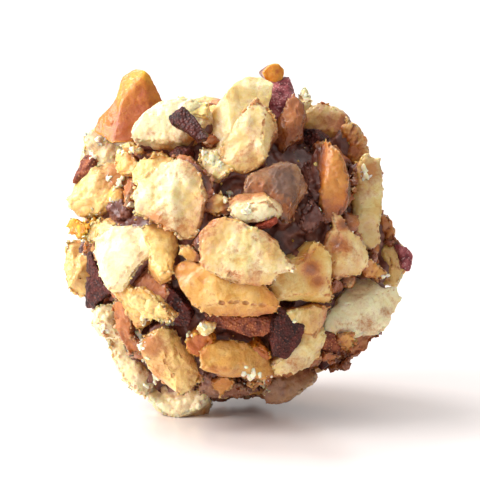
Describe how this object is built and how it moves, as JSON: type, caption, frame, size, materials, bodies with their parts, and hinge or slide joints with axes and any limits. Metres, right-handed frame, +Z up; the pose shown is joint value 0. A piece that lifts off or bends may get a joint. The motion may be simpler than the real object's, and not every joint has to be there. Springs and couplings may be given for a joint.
{
  "type": "chocolate truffle rolled in chopped nuts",
  "caption": "Round chocolate truffle with broken roasted nut pieces pressed all over it, chocolate showing in the gaps, standing on one flat nut face.",
  "frame": {"origin": "on the surface that the truffle stands on, under the middle of the ball, at the middle of the base nut's flat face", "axes": "+Z up; -Y is the front, with the carefully laid nuts; +X is to the right as the front is seen"},
  "size_m": [0.0344, 0.0339, 0.0346],
  "materials": {
    "milk_chocolate": "glossy soft chocolate",
    "ivory_nut": "satin blanched nut",
    "golden_nut": "satin roasted nut",
    "amber_nut": "glossy caramel-coloured nut",
    "nut_skin": "dark papery skin"
  },
  "bodies": {
    "root": {"amber_wedge": "amber_nut", "base_nut": "golden_nut", "brown_rim": "amber_nut", "chocolate_ball": "milk_chocolate", "crescent": "golden_nut", "dome": "ivory_nut", "dotted_skin": "nut_skin", "golden_low": "golden_nut", "golden_spire": "amber_nut", "jagged_chip": "ivory_nut", "left_block": "ivory_nut", "left_bottom_long": "ivory_nut", "left_foot": "ivory_nut", "left_low": "golden_nut", "left_rim_high": "golden_nut", "left_rim_low": "golden_nut", "left_shoulder": "ivory_nut", "left_small_block": "golden_nut", "long_slab": "golden_nut", "low_crescent": "ivory_nut", "low_front": "golden_nut", "low_right": "golden_nut", "lower_right_brown": "amber_nut", "lower_slab": "golden_nut", "middle_flake": "ivory_nut", "pale_top": "ivory_nut", "purple_skin": "nut_skin", "ragged_flake": "golden_nut", "rear_nut_01": "ivory_nut", "rear_nut_02": "golden_nut", "rear_nut_03": "ivory_nut", "rear_nut_04": "amber_nut", "rear_nut_05": "golden_nut", "rear_nut_06": "ivory_nut", "rear_nut_07": "golden_nut", "rear_nut_08": "ivory_nut", "rear_nut_09": "amber_nut", "rear_nut_10": "golden_nut", "rear_nut_11": "ivory_nut", "rear_nut_12": "golden_nut", "rear_nut_13": "ivory_nut", "rear_nut_14": "amber_nut", "rear_nut_15": "golden_nut", "rear_nut_16": "ivory_nut", "rear_nut_17": "golden_nut", "red_edged_chip": "ivory_nut", "right_amber": "amber_nut", "right_brown": "amber_nut", "right_flake": "ivory_nut", "right_long": "ivory_nut", "right_low_slab": "ivory_nut", "right_shoulder": "golden_nut", "right_tip_skin": "nut_skin", "shaded_slab": "golden_nut", "shell_flake": "ivory_nut", "stained_plate": "ivory_nut", "standing_flake": "ivory_nut", "top_back": "ivory_nut", "top_bead": "amber_nut", "top_slab": "ivory_nut"}
  },
  "joints": []
}
